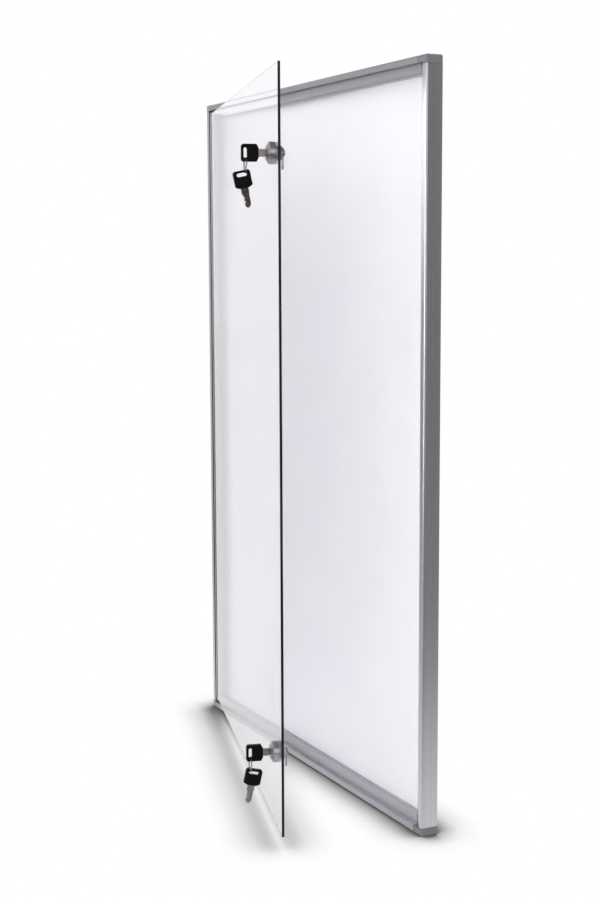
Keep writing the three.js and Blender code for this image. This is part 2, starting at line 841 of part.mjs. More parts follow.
// A lock on the door: fixed pieces, the turning plug with its cam, and the key in it. The ring
// hangs in the key's slot, and the spare hangs in the ring.
function lockAssembly(place, side, spareTilt) {
  const lock = new THREE.Group();
  lock.position.set(lockReach, sheetFront - hingeDepth, side * lockHeight);
  lock.add(piece(`${place}_lock_housing`, lockHousing(), satinChrome));
  lock.add(piece(`${place}_lock_washer`, lockWasher(), brightSteel));
  lock.add(piece(`${place}_lock_nut`, lockNut(), brightSteel));
  lock.add(piece(`${place}_lock_plug`, lockPlug(), brightSteel));
  lock.add(piece(`${place}_lock_cam`, lockCam(), brightSteel));
  lock.add(piece(`${place}_cam_screw`, camScrew(), brightSteel));

  const key = new THREE.Group();
  key.position.set(0, keyOrigin, 0);
  key.add(piece(`${place}_key_blade`, keyBlade(), nickelSilver));
  key.add(piece(`${place}_key_head`, keyHead(), blackPlastic));
  lock.add(key);

  const wireHeight = wireSeat - keySlotLength / 2;
  const ring = piece(`${place}_key_ring`, keyRing(), brightSteel);
  ring.position.set(0, slotPlace, wireHeight - ringRadius);
  key.add(ring);

  const spareSide = Math.sign(spareTilt);
  const spare = new THREE.Group();
  spare.position.set(0, slotPlace, wireHeight - 2 * ringRadius);
  spare.rotation.x = radians(spareTilt - 90);
  const spareKey = new THREE.Group();
  spareKey.position.set(0, keySlotWidth / 2 - slotPlace - wireSeat, -spareSide * spareHangOffset);
  spareKey.add(piece(`${place}_spare_blade`, keyBlade(), nickelSilver));
  spareKey.add(piece(`${place}_spare_head`, keyHead(), blackPlastic));
  spare.add(spareKey);
  key.add(spare);
  return lock;
}

function frameGroup() {
  const frame = new THREE.Group();
  frame.add(piece('top_rail', rail(1), aluminium));
  frame.add(piece('bottom_rail', rail(-1), aluminium));
  frame.add(piece('hinge_stile', hingeStile(), aluminium));
  frame.add(piece('lock_stile', lockStile(), aluminium));
  frame.add(piece('corner_top_left', cornerPiece(-1, 1), cornerPlastic));
  frame.add(piece('corner_top_right', cornerPiece(1, 1), cornerPlastic));
  frame.add(piece('corner_bottom_left', cornerPiece(-1, -1), cornerPlastic));
  frame.add(piece('corner_bottom_right', cornerPiece(1, -1), cornerPlastic));
  const coreFront = panelFront + faceSheetThickness;
  const backingFront = coreFront + coreThickness;
  frame.add(piece('panel_face', panelLayer(panelFront, faceSheetThickness), whiteEnamel));
  frame.add(piece('panel_core', panelLayer(coreFront, coreThickness), fibreBoard));
  frame.add(piece('panel_backing', panelLayer(backingFront, backingThickness), zincPlate));
  frame.add(piece('top_fixing_cap', fixingCap(1), capPlastic));
  frame.add(piece('bottom_fixing_cap', fixingCap(-1), capPlastic));
  return frame;
}

function doorGroup() {
  const door = new THREE.Group();
  door.position.set(hingeInset - halfWidth, hingeDepth, doorRise);
  door.rotation.z = radians(-doorRestAngle);
  door.add(piece('door_sheet', doorSheet(), clearSheet));
  door.add(piece('door_hinge_profile', doorHingeProfile(), aluminium));
  door.add(lockAssembly('upper', 1, upperSpareTilt));
  door.add(lockAssembly('lower', -1, lowerSpareTilt));
  return door;
}

const board = new THREE.Group();
board.position.set(0, -profileDepth, bearingInset - halfHeight);
board.add(frameGroup(), doorGroup());

const part = new THREE.Group();
part.add(board);

export default part;
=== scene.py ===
# Lockable notice board: finishes, smooth turned parts, studio and camera.
# Metres, +Z up, the board faces -Y and hangs on a wall at y = 0.

import json
import math

import bpy
from mathutils import Matrix, Vector


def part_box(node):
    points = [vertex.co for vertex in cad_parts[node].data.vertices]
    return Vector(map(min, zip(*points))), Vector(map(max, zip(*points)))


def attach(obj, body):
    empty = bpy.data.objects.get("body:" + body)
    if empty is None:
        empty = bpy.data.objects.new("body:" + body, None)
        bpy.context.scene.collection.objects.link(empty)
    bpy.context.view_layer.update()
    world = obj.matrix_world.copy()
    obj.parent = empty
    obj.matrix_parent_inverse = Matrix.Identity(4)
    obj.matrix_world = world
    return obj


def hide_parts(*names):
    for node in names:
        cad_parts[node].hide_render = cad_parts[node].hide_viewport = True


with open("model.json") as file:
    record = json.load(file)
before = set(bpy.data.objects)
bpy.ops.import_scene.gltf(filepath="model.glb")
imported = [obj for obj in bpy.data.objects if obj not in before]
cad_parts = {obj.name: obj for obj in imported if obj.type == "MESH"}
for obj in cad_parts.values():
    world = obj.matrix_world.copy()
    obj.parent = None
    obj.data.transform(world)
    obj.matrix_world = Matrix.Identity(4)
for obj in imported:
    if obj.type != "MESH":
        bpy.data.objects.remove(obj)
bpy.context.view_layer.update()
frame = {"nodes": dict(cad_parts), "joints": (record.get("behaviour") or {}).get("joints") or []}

MM = 0.001
BOARD_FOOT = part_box("corner_bottom_left")[0].z

# The camera stands to the right of the board and looks along it, a little downwards
CAMERA_PLACE = Vector((1.7235, -0.918, BOARD_FOOT + 0.6674))
CAMERA_YAW = math.radians(-62.61)
CAMERA_PITCH = math.radians(-7.06)
CAMERA_ROLL = math.radians(-0.235)
CAMERA_SENSOR = 36.0
CAMERA_LENS = 59.36


# Finishes


def linear(hex_colour):
    """An sRGB hex colour as linear red, green, blue and alpha."""
    channels = [int(hex_colour[i : i + 2], 16) / 255 for i in (1, 3, 5)]
    return tuple(c / 12.92 if c <= 0.04045 else ((c + 0.055) / 1.055) ** 2.4 for c in channels) + (1.0,)


def add(tree, kind, inputs=None, links=None, **settings):
    """Adds a node, sets it, fills its sockets and links them to (node, output) pairs."""
    node = tree.nodes.new(kind)
    for name, value in settings.items():
        setattr(node, name, value)
    for name, value in (inputs or {}).items():
        node.inputs[name].default_value = value
    for name, (source, output) in (links or {}).items():
        tree.links.new(source.outputs[output], node.inputs[name])
    return node


def new_material(name):
    material = bpy.data.materials.new(name)
    material.use_nodes = True
    material.node_tree.nodes.clear()
    return material


def board_finish(name, tones, rough, grain_mm, cloud_mm, relief_mm, **shader):
    """A finish whose tone wanders slowly between two colours. A finer grain gives it its relief
    and sets how smooth it is from place to place."""
    material = new_material(name)
    tree = material.node_tree
    place = (add(tree, "ShaderNodeTexCoord"), "Object")
    fine_scale = [1 / (mm * MM) for mm in grain_mm]
    fine = add(tree, "ShaderNodeMapping", {"Scale": fine_scale}, {"Vector": place})
    grain = add(
        tree,
        "ShaderNodeTexNoise",
        {"Scale": 1.0, "Detail": 3.0},
        {"Vector": (fine, "Vector")},
    )
    wide_scale = [1 / (mm * MM) for mm in cloud_mm]
    wide = add(tree, "ShaderNodeMapping", {"Scale": wide_scale}, {"Vector": place})
    cloud = add(
        tree,
        "ShaderNodeTexNoise",
        {"Scale": 1.0, "Detail": 2.0},
        {"Vector": (wide, "Vector")},
    )
    drift = add(
        tree,
        "ShaderNodeMapRange",
        {"From Min": 0.3, "From Max": 0.7},
        {"Value": (cloud, "Fac")},
    )
    colour = add(
        tree,
        "ShaderNodeMix",
        {"A": linear(tones[0]), "B": linear(tones[1])},
        {"Factor": (drift, "Result")},
        data_type="RGBA",
    )
    smooth = add(
        tree,
        "ShaderNodeMapRange",
        {"From Min": 0.25, "From Max": 0.75, "To Min": rough[0], "To Max": rough[1]},
        {"Value": (grain, "Fac")},
    )
    relief = add(
        tree,
        "ShaderNodeBump",
        {"Strength": 0.5, "Distance": relief_mm * MM},
        {"Height": (grain, "Fac")},
    )
    body = add(
        tree,
        "ShaderNodeBsdfPrincipled",
        {socket.replace("_", " "): value for socket, value in shader.items()},
        {
            "Base Color": (colour, "Result"),
            "Roughness": (smooth, "Result"),
            "Normal": (relief, "Normal"),
        },
    )
    add(tree, "ShaderNodeOutputMaterial", links={"Surface": (body, "BSDF")})
    return material


def galvanised_sheet():
    """Hot-dip galvanised sheet: spangles some 9 mm across, each with its own tone and gloss."""
    material = new_material("galvanised_sheet")
    tree = material.node_tree
    place = (add(tree, "ShaderNodeTexCoord"), "Object")
    scale = add(tree, "ShaderNodeMapping", {"Scale": [1 / (9 * MM)] * 3}, {"Vector": place})
    spangle = add(tree, "ShaderNodeTexVoronoi", {"Scale": 1.0}, {"Vector": (scale, "Vector")})
    tone = (add(tree, "ShaderNodeSeparateColor", links={"Color": (spangle, "Color")}), "Red")
    colour = add(
        tree,
        "ShaderNodeMix",
        {"A": linear("#a5a9ad"), "B": linear("#bcc0c4")},
        {"Factor": tone},
        data_type="RGBA",
    )
    smooth = add(tree, "ShaderNodeMapRange", {"To Min": 0.34, "To Max": 0.52}, {"Value": tone})
    body = add(
        tree,
        "ShaderNodeBsdfPrincipled",
        {"Metallic": 1.0},
        {"Base Color": (colour, "Result"), "Roughness": (smooth, "Result")},
    )
    add(tree, "ShaderNodeOutputMaterial", links={"Surface": (body, "BSDF")})
    return material


# Matt anodised extruded aluminium: the die's lines run the length of the bar and draw its
# reflections out across them. They lie a few tenths of a millimetre apart, and are drawn 0.7 mm
# apart so that they show. The rails' tone is painted darker than the stiles', to match how dark they
# look: painted shade for the darker part of the room they mirror.
upright_aluminium = board_finish(
    "anodised_aluminium_upright",
    tones=("#c9c8cd", "#d1d0d5"),
    rough=(0.24, 0.34),
    grain_mm=(0.7, 0.7, 350),
    cloud_mm=(5, 5, 900),
    relief_mm=0.03,
    Metallic=1.0,
)
rail_aluminium_painted_darker = board_finish(
    "anodised_aluminium_level_painted_shade",
    tones=("#b2b1b6", "#bab9be"),
    rough=(0.26, 0.36),
    grain_mm=(350, 0.7, 0.7),
    cloud_mm=(900, 5, 5),
    relief_mm=0.14,
    Metallic=1.0,
)

# Moulded ABS with a fine spark-eroded texture: a soft, even highlight. The corners are mid grey
# and the caps over the wall screws pale.
grey_abs = board_finish(
    "moulded_abs_grey",
    tones=("#6d6a70", "#77747a"),
    rough=(0.42, 0.58),
    grain_mm=(0.4, 0.4, 0.4),
    cloud_mm=(6, 6, 6),
    relief_mm=0.02,
    IOR=1.53,
)
pale_abs = board_finish(
    "moulded_abs_pale",
    tones=("#a5a2a8", "#b1aeb4"),
    rough=(0.38, 0.52),
    grain_mm=(0.4, 0.4, 0.4),
    cloud_mm=(4, 4, 4),
    relief_mm=0.02,
    IOR=1.53,
)

# Vitreous enamel on steel: clear white over a faint orange peel. Its gloss is held low, so that
# the lit flats don't whiten it.
white_enamel = board_finish(
    "white_enamelled_steel",
    tones=("#f2f4f7", "#f5f7f9"),
    rough=(0.1, 0.16),
    grain_mm=(4, 4, 4),
    cloud_mm=(120, 120, 120),
    relief_mm=0.004,
    IOR=1.5,
    Specular_IOR_Level=0.12,
)

# Pressed wood fibre: dull and brown, with short mixed fibres
fibre_board = board_finish(
    "pressed_fibre_board",
    tones=("#7d6347", "#a98c69"),
    rough=(0.8, 0.95),
    grain_mm=(0.5, 0.5, 3),
    cloud_mm=(2, 2, 8),
    relief_mm=0.1,
    IOR=1.45,
)
galvanised = galvanised_sheet()

# Cast acrylic, faintly lilac: clear, with a mirror's gloss at a flat angle and wiped streaks
# that hardly dull it
acrylic = board_finish(
    "clear_cast_acrylic",
    tones=("#f9f4fa", "#fcf8fd"),
    rough=(0.0, 0.03),
    grain_mm=(25, 25, 120),
    cloud_mm=(90, 90, 90),
    relief_mm=0.002,
    IOR=1.49,
    Transmission_Weight=1.0,
)

# The free edge, flame polished: one looks through the sheet's whole width there, so it is
# nearly black, with a plum tint
dark_edge = board_finish(
    "acrylic_edge_polished",
    tones=("#120b17", "#221929"),
    rough=(0.12, 0.25),
    grain_mm=(2, 2, 0.6),
    cloud_mm=(20, 20, 140),
    relief_mm=0.01,
    IOR=1.49,
    Specular_IOR_Level=0.2,
)

# The top and bottom edges, left as sawn: pale and frosted, with the blade's marks across them
frosted_edge = board_finish(
    "acrylic_edge_sawn",
    tones=("#cfc9d6", "#e2dde8"),
    rough=(0.4, 0.6),
    grain_mm=(0.6, 0.6, 2),
    cloud_mm=(8, 8, 8),
    relief_mm=0.03,
    IOR=1.49,
    Transmission_Weight=0.5,
)

# Satin chrome on die-cast zinc: a broad soft sheen that wraps round the lock's barrel
satin_chrome = board_finish(
    "satin_chromed_zinc",
    tones=("#b4b2b6", "#c0bec2"),
    rough=(0.24, 0.36),
    grain_mm=(0.4, 0.4, 0.4),
    cloud_mm=(7, 7, 7),
    relief_mm=0.01,
    Metallic=1.0,
)

# Barrel-plated nickel on steel: bright, with small dings that break its reflections
bright_nickel = board_finish(
    "bright_nickelled_steel",
    tones=("#949395", "#a8a7a9"),
    rough=(0.06, 0.16),
    grain_mm=(0.8, 0.8, 0.8),
    cloud_mm=(7, 7, 7),
    relief_mm=0.01,
    Metallic=1.0,
)

# Nickel silver blanks: a warm grey, drawn lengthwise by the rolling mill. The upper spare key's
# blade is painted nearly black: painted shade for the dark things it mirrors.
nickel_silver = board_finish(
    "rolled_nickel_silver",
    tones=("#8d8683", "#a09996"),
    rough=(0.22, 0.38),
    grain_mm=(0.3, 0.3, 3),
    cloud_mm=(5, 5, 5),
    relief_mm=0.01,
    Metallic=1.0,
)
shaded_nickel_silver = board_finish(
    "nickel_silver_painted_shade",
    tones=("#46423f", "#5c5754"),
    rough=(0.25, 0.42),
    grain_mm=(0.3, 0.3, 3),
    cloud_mm=(3, 3, 3),
    relief_mm=0.01,
    Metallic=1.0,
)

# The hinge's socket, painted dark: painted shade for the gap round the bead, a thin dark line beside
# the door
socket_painted_shade = board_finish(
    "hinge_socket_painted_shade",
    tones=("#2f2e33", "#45434a"),
    rough=(0.3, 0.45),
    grain_mm=(0.7, 0.7, 350),
    cloud_mm=(3, 3, 60),
    relief_mm=0.01,
    Metallic=1.0,
)

# Moulded nylon over the key's tang: black and satin, with a fine grip texture
black_nylon = board_finish(
    "moulded_nylon_black",
    tones=("#040405", "#09090b"),
    rough=(0.34, 0.5),
    grain_mm=(0.35, 0.35, 0.35),
    cloud_mm=(5, 5, 5),
    relief_mm=0.02,
    IOR=1.53,
    Specular_IOR_Level=0.1,
)


# Pieces

# How far each kind of edge is eased, in millimetres
EXTRUDED_EDGE = 0.15
CORNER_EDGE = 0.5
CAP_EDGE = 0.25
SHEET_EDGE = 0.08
WASHER_EDGE = 0.1
TURNED_EDGE = 0.15
CAM_EDGE = 0.2
BLADE_EDGE = 0.12
HEAD_EDGE = 0.25

# In millimetres and degrees: points closer than the weld are one, faces that lean less than the
# flat angle are one flat face, and edges sharper than the sharp angle are eased.
COPY_WELD = 0.01
FLAT_ANGLE = 0.5
SHARP_ANGLE = 34

# In millimetres: a turned piece that runs to its axis is drawn to the axis radius, and its points
# there, closer than the weld, become one.
AXIS_RADIUS = 0.001
TURNED_WELD = 0.005


def select_only(piece):
    bpy.ops.object.select_all(action="DESELECT")
    piece.select_set(True)
    bpy.context.view_layer.objects.active = piece


def apply_modifier(piece, kind, **settings):
    select_only(piece)
    modifier = piece.modifiers.new(kind.lower(), kind)
    for name, value in settings.items():
        setattr(modifier, name, value)
    bpy.ops.object.modifier_apply(modifier=modifier.name)


def place_at(piece, matrix):
    piece.matrix_world = matrix
    select_only(piece)
    bpy.ops.object.transform_apply(location=True, rotation=True, scale=True)


def paint(piece, *materials):
    piece.data.materials.clear()
    for material in materials:
        piece.data.materials.append(material)


def settle(piece, material, body, node, round_angle=32):
    """Finishes a piece: smooth where it is round and true where it is flat, painted, riding on
    its body and standing for its CAD node."""
    select_only(piece)
    bpy.ops.object.shade_smooth_by_angle(angle=math.radians(round_angle))
    apply_modifier(piece, "WEIGHTED_NORMAL", keep_sharp=True, weight=100)
    paint(piece, material)
    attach(piece, body)
    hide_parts(node)


def eased_copy(node, edge_mm, material, body, segments=2):
    """The node's own form with its sharp edges eased, as tumbling, moulding or a die leaves them."""
    piece = bpy.data.objects.new("eased_" + node, frame["nodes"][node].data.copy())
    bpy.context.scene.collection.objects.link(piece)
    select_only(piece)
    bpy.ops.object.mode_set(mode="EDIT")
    bpy.ops.mesh.select_all(action="SELECT")
    bpy.ops.mesh.remove_doubles(threshold=COPY_WELD * MM)
    bpy.ops.mesh.dissolve_limited(angle_limit=math.radians(FLAT_ANGLE))
    bpy.ops.object.mode_set(mode="OBJECT")
    apply_modifier(
        piece,
        "BEVEL",
        width=edge_mm * MM,
        segments=segments,
        limit_method="ANGLE",
        angle_limit=math.radians(SHARP_ANGLE),
        use_clamp_overlap=True,
    )
    settle(piece, material, body, node)
    return piece


def turned(name, outline, sides=96):
    """A turned piece about the z axis: a circle, drawn out from point to point of its outline."""
    points = [(max(radius, AXIS_RADIUS), height) for radius, height in outline]
    bpy.ops.object.select_all(action="DESELECT")
    bpy.ops.mesh.primitive_circle_add(
        vertices=sides, radius=points[0][0] * MM, location=(0, 0, points[0][1] * MM)
    )
    piece = bpy.context.object
    piece.name = name
    bpy.ops.object.transform_apply(location=True, rotation=True, scale=True)
    bpy.ops.object.mode_set(mode="EDIT")
    bpy.ops.mesh.select_all(action="SELECT")
    for (radius, height), (next_radius, next_height) in zip(points, points[1:]):
        bpy.ops.mesh.extrude_edges_move(
            TRANSFORM_OT_translate={"value": (0, 0, (next_height - height) * MM)}
        )
        ratio = next_radius / radius
        bpy.ops.transform.resize(value=(ratio, ratio, 1), center_override=(0, 0, next_height * MM))
    bpy.ops.mesh.select_all(action="SELECT")
    bpy.ops.mesh.remove_doubles(threshold=TURNED_WELD * MM)
    bpy.ops.mesh.normals_make_consistent(inside=False)
    bpy.ops.object.mode_set(mode="OBJECT")
    return piece


def block(name, low_mm, high_mm):
    bpy.ops.object.select_all(action="DESELECT")
    low = Vector(low_mm) * MM
    high = Vector(high_mm) * MM
    bpy.ops.mesh.primitive_cube_add(size=1, location=(low + high) / 2, scale=high - low)
    piece = bpy.context.object
    piece.name = name
    bpy.ops.object.transform_apply(location=True, rotation=True, scale=True)
    return piece


joints = {joint["name"]: joint for joint in frame["joints"]}
hinge_axis = Vector(joints["door_hinge"]["pos_m"])
outward = Vector(joints["upper_lock_turn"]["axis"])
along_door = Vector((0, 0, 1)).cross(outward)

# Frame. The hinge's socket lies within this reach of the hinge's axis, in millimetres.
SOCKET_REACH = 3.2

# The rails take the darker copy of the aluminium: painted shade.
for rail in ("top_rail", "bottom_rail"):
    eased_copy(rail, EXTRUDED_EDGE, rail_aluminium_painted_darker, "frame")
eased_copy("lock_stile", EXTRUDED_EDGE, upright_aluminium, "frame")
hinge_stile = eased_copy(
    "hinge_stile",
    EXTRUDED_EDGE,
    upright_aluminium,
    "frame",
)
# The socket's faces within the reach of the hinge's axis take the dark finish: painted shade.
paint(hinge_stile, upright_aluminium, socket_painted_shade)
for face in hinge_stile.data.polygons:
    face.material_index = int((face.center - hinge_axis).xy.length < SOCKET_REACH * MM)
for corner in ("top_left", "top_right", "bottom_left", "bottom_right"):
    eased_copy("corner_" + corner, CORNER_EDGE, grey_abs, "frame", segments=3)
for cap in ("top_fixing_cap", "bottom_fixing_cap"):
    eased_copy(cap, CAP_EDGE, pale_abs, "frame")
paint(frame["nodes"]["panel_face"], white_enamel)
paint(frame["nodes"]["panel_core"], fibre_board)
paint(frame["nodes"]["panel_backing"], galvanised)

# Door. A face looks a way when its normal leans less than 60 degrees from it, whose cosine this is.
# The facets in the locks' holes are smaller than this area, in square millimetres, and the free
# edge's faces are larger.
FACING = 0.5
HOLE_FACET_AREA = 10

eased_copy("door_hinge_profile", EXTRUDED_EDGE, upright_aluminium, "door")
sheet = eased_copy("door_sheet", SHEET_EDGE, acrylic, "door")
paint(sheet, acrylic, dark_edge, frosted_edge)
for face in sheet.data.polygons:
    if face.normal.dot(along_door) > FACING and face.area > HOLE_FACET_AREA * MM**2:
        face.material_index = 1
    elif abs(face.normal.z) > FACING:
        face.material_index = 2

# Locks, in millimetres. Heights run along the lock's axis from the sheet's front face, positive
# inwards.
HOUSING_PROUD = 10.8
HOUSING_RADIUS = 12.4
HOUSING_FACE_RADIUS = 7.2
HOUSING_CONE = 3.2
BORE_CHAMFER = 0.3
FACE_EASE_INWARD = 0.2
FACE_EASE_OUTWARD = 0.3
SHOULDER_ROUND = 0.7
SHOULDER_RISE = 0.2
ROUND_STEP = 0.15
FOOT_CHAMFER = 0.4
SLEEVE_CHAMFER = 0.3
SEAM = 0.2
PLUG_HEAD_RADIUS = 5.6
PLUG_HEAD_LENGTH = 1.4
PLUG_RADIUS = 4.7
BARREL_RADIUS = 5.9
NUT_BACK = 7.0
CAM_BACK = 8.7
SCREW_RADIUS = 4.6
SCREW_HEIGHT = 2.4
SHANK_RADIUS = 1.6
SHANK_LENGTH = 2.6
CROSS_HALF_LENGTH = 2.2
CROSS_HALF_WIDTH = 0.45
CROSS_DEPTH = 1.1
CUT_OVERRUN = 1
DOME_STEP_DEGREES = 10
RING_RADIUS = 8.6
RING_PITCH = 0.72
RING_WIRE = 0.35
RING_TURNS = 2
RING_STEPS = 128
WIRE_SIDES = 12


def lock_matrix(place):
    """From an axis that runs inwards along z to the lock's own place on the door."""
    turn = Matrix((along_door, Vector((0, 0, -1)), -outward)).transposed()
    return Matrix.Translation(joints[place + "_lock_turn"]["pos_m"]) @ turn.to_4x4()


def lock_housing(place):
    """The round barrel in front of the door, coned to its face, with its sleeve through the sheet."""
    front = -HOUSING_PROUD
    shoulder = front + HOUSING_CONE
    bore = PLUG_HEAD_RADIUS + SEAM
    step = front + PLUG_HEAD_LENGTH + SEAM
    piece = turned(
        place + "_housing",
        [
            (bore, step),
            (bore, front + BORE_CHAMFER),
            (bore + BORE_CHAMFER, front),
            (HOUSING_FACE_RADIUS - FACE_EASE_INWARD, front),
            (HOUSING_FACE_RADIUS + FACE_EASE_OUTWARD, front + ROUND_STEP),
            (HOUSING_RADIUS - SHOULDER_ROUND, shoulder - SHOULDER_RISE),
            (HOUSING_RADIUS - ROUND_STEP, shoulder + ROUND_STEP),
            (HOUSING_RADIUS, shoulder + SHOULDER_ROUND),
            (HOUSING_RADIUS, -SEAM - FOOT_CHAMFER),
            (HOUSING_RADIUS - FOOT_CHAMFER, -SEAM),
            (BARREL_RADIUS, -SEAM),
            (BARREL_RADIUS, NUT_BACK - SLEEVE_CHAMFER),
            (BARREL_RADIUS - SLEEVE_CHAMFER, NUT_BACK),
            (PLUG_RADIUS + SEAM, NUT_BACK),
            (PLUG_RADIUS + SEAM, step),
            (bore, step),
        ],
    )
    place_at(piece, lock_matrix(place))
    settle(piece, satin_chrome, "door", place + "_lock_housing", round_angle=25)


def cam_screw(place):
    """The cross-head screw that holds the cam: a shank, and a domed head with its cross cut in."""
    seat = CAM_BACK + SEAM
    top = seat + SCREW_HEIGHT
    dome = [
        (SCREW_RADIUS * math.cos(math.radians(a)), seat + SCREW_HEIGHT * math.sin(math.radians(a)))
        for a in range(0, 91, DOME_STEP_DEGREES)
    ]
    shank = [(0, seat - SHANK_LENGTH), (SHANK_RADIUS, seat - SHANK_LENGTH), (SHANK_RADIUS, seat)]
    piece = turned(place + "_screw", shank + dome)
    halves = (CROSS_HALF_LENGTH, CROSS_HALF_WIDTH)
    for across, along in (halves, halves[::-1]):
        low = (-across, -along, top - CROSS_DEPTH)
        high = (across, along, top + CUT_OVERRUN)
        arm = block("cross_arm", low, high)
        apply_modifier(piece, "BOOLEAN", operation="DIFFERENCE", object=arm, solver="EXACT")
        bpy.data.objects.remove(arm)
    place_at(piece, lock_matrix(place))
    settle(piece, bright_nickel, place + "_plug", place + "_cam_screw", round_angle=25)


def split_ring(place):
    """Two close turns of round wire, wound from a small circle and closed at their ends. The wire is
    thinner than a real ring's, so that it clears the key heads as far as it swings."""
    bpy.ops.object.select_all(action="DESELECT")
    bpy.ops.mesh.primitive_circle_add(
        vertices=WIRE_SIDES,
        radius=RING_WIRE * MM,
        location=(RING_RADIUS * MM, 0, -RING_PITCH * MM),
        rotation=(math.radians(90), 0, 0),
    )
    piece = bpy.context.object
    piece.name = place + "_split_ring"
    bpy.ops.object.transform_apply(location=True, rotation=True, scale=True)
    apply_modifier(
        piece,
        "SCREW",
        axis="Z",
        angle=math.radians(360 * RING_TURNS),
        screw_offset=RING_TURNS * RING_PITCH * MM,
        steps=RING_STEPS,
        render_steps=RING_STEPS,
        use_merge_vertices=False,
    )
    bpy.ops.object.mode_set(mode="EDIT")
    bpy.ops.mesh.select_mode(type="EDGE")
    bpy.ops.mesh.select_all(action="DESELECT")
    bpy.ops.mesh.select_non_manifold(extend=False)
    bpy.ops.mesh.fill()
    bpy.ops.mesh.select_all(action="SELECT")
    bpy.ops.mesh.normals_make_consistent(inside=False)
    bpy.ops.object.mode_set(mode="OBJECT")
    low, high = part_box(place + "_key_ring")
    matrix = lock_matrix(place)
    matrix.translation = (low + high) / 2
    place_at(piece, matrix)
    settle(piece, bright_nickel, place + "_ring", place + "_key_ring", round_angle=60)


# The upper spare blade takes the darker copy of nickel silver: painted shade.
for place, spare_finish in (("upper", shaded_nickel_silver), ("lower", nickel_silver)):
    plug = place + "_plug"
    key = place + "_key"
    spare = place + "_spare"
    lock_housing(place)
    cam_screw(place)
    split_ring(place)
    eased_copy(place + "_lock_washer", WASHER_EDGE, bright_nickel, "door")
    eased_copy(place + "_lock_nut", TURNED_EDGE, bright_nickel, "door")
    eased_copy(place + "_lock_plug", TURNED_EDGE, bright_nickel, plug)
    eased_copy(place + "_lock_cam", CAM_EDGE, bright_nickel, plug)
    eased_copy(key + "_blade", BLADE_EDGE, nickel_silver, key)
    eased_copy(spare + "_blade", BLADE_EDGE, spare_finish, spare)
    eased_copy(key + "_head", HEAD_EDGE, black_nylon, key)
    eased_copy(spare + "_head", HEAD_EDGE, black_nylon, spare)


# Studio: a white floor and surround, one soft lamp that no mirror shows, and flats for the mirrors
# to show. Sizes and places are in metres, and the two reaches of the floor's shade in millimetres.
FLOOR_SIZE = 30
CONTACT_REACH = 35
SHADE_REACH = 75
FLAT_REACH = 3.2
FLAT_BRIGHTEST = 3.0
FLAT_MIDDLE = BOARD_FOOT + FLAT_REACH / 2
CEILING = BOARD_FOOT + 2.3
LAMP_HEIGHT = -0.5


def ray_kinds(tree):
    """The light path, whether a ray comes off a mirror or through the acrylic, and whether what
    it meets is seen at all."""
    rays = add(tree, "ShaderNodeLightPath")
    mirrored = add(
        tree,
        "ShaderNodeMath",
        links={0: (rays, "Is Glossy Ray"), 1: (rays, "Is Transmission Ray")},
        operation="MAXIMUM",
    )
    seen = add(
        tree,
        "ShaderNodeMath",
        links={0: (rays, "Is Camera Ray"), 1: (mirrored, "Value")},
        operation="MAXIMUM",
    )
    return rays, mirrored, seen


def studio_floor():
    """Matt white floor. The lens sees it run into the white surround, and darker only close to
    what stands on it. Mirrors show it falling off to the front and to the right, and so does the
    acrylic to a lens that looks through it."""
    material = new_material("matt_white_floor")
    tree = material.node_tree
    place = (add(tree, "ShaderNodeTexCoord"), "Object")
    rays, mirrored, seen = ray_kinds(tree)
    close = add(tree, "ShaderNodeAmbientOcclusion", {"Distance": CONTACT_REACH * MM}, samples=16)
    wide = add(tree, "ShaderNodeAmbientOcclusion", {"Distance": SHADE_REACH * MM}, samples=16)
    open_sky = add(
        tree,
        "ShaderNodeMath",
        links={0: (close, "AO"), 1: (wide, "AO")},
        operation="MULTIPLY",
    )
    contact = add(
        tree,
        "ShaderNodeMapRange",
        {"From Min": 0.38, "From Max": 0.97, "To Min": 0.1, "To Max": 1.0},
        {"Value": (open_sky, "Value")},
    )
    faint = add(
        tree,
        "ShaderNodeMapRange",
        {"To Min": 0.75, "To Max": 1.0},
        {"Value": (contact, "Result")},
    )
    shade = add(
        tree,
        "ShaderNodeMix",
        links={"Factor": (mirrored, "Value"), "A": (contact, "Result"), "B": (faint, "Result")},
    )
    axes = add(tree, "ShaderNodeSeparateXYZ", links={"Vector": place})
    ahead = add(
        tree,
        "ShaderNodeMapRange",
        {"From Min": -0.75, "From Max": 0.0, "To Min": 0.47, "To Max": 1.0},
        {"Value": (axes, "Y")},
    )
    aside = add(
        tree,
        "ShaderNodeMapRange",
        {"From Min": 0.15, "From Max": 1.05, "To Min": 0.97, "To Max": 0.25},
        {"Value": (axes, "X")},
    )
    fall = add(
        tree,
        "ShaderNodeMath",
        links={0: (ahead, "Result"), 1: (aside, "Result")},
        operation="MULTIPLY",
    )
    level = add(
        tree,
        "ShaderNodeMix",
        {"A": 1.0},
        {"Factor": (rays, "Is Glossy Ray"), "B": (fall, "Value")},
    )
    shown = add(
        tree,
        "ShaderNodeMath",
        links={0: (level, "Result"), 1: (shade, "Result")},
        operation="MULTIPLY",
    )
    white = add(tree, "ShaderNodeEmission", links={"Strength": (shown, "Value")})
    plain = add(tree, "ShaderNodeBsdfDiffuse", {"Color": linear("#dcdcde")})
    mixed = add(
        tree,
        "ShaderNodeMixShader",
        links={0: (seen, "Value"), 1: (plain, "BSDF"), 2: (white, "Emission")},
    )
    add(tree, "ShaderNodeOutputMaterial", links={"Surface": (mixed, "Shader")})
    return material


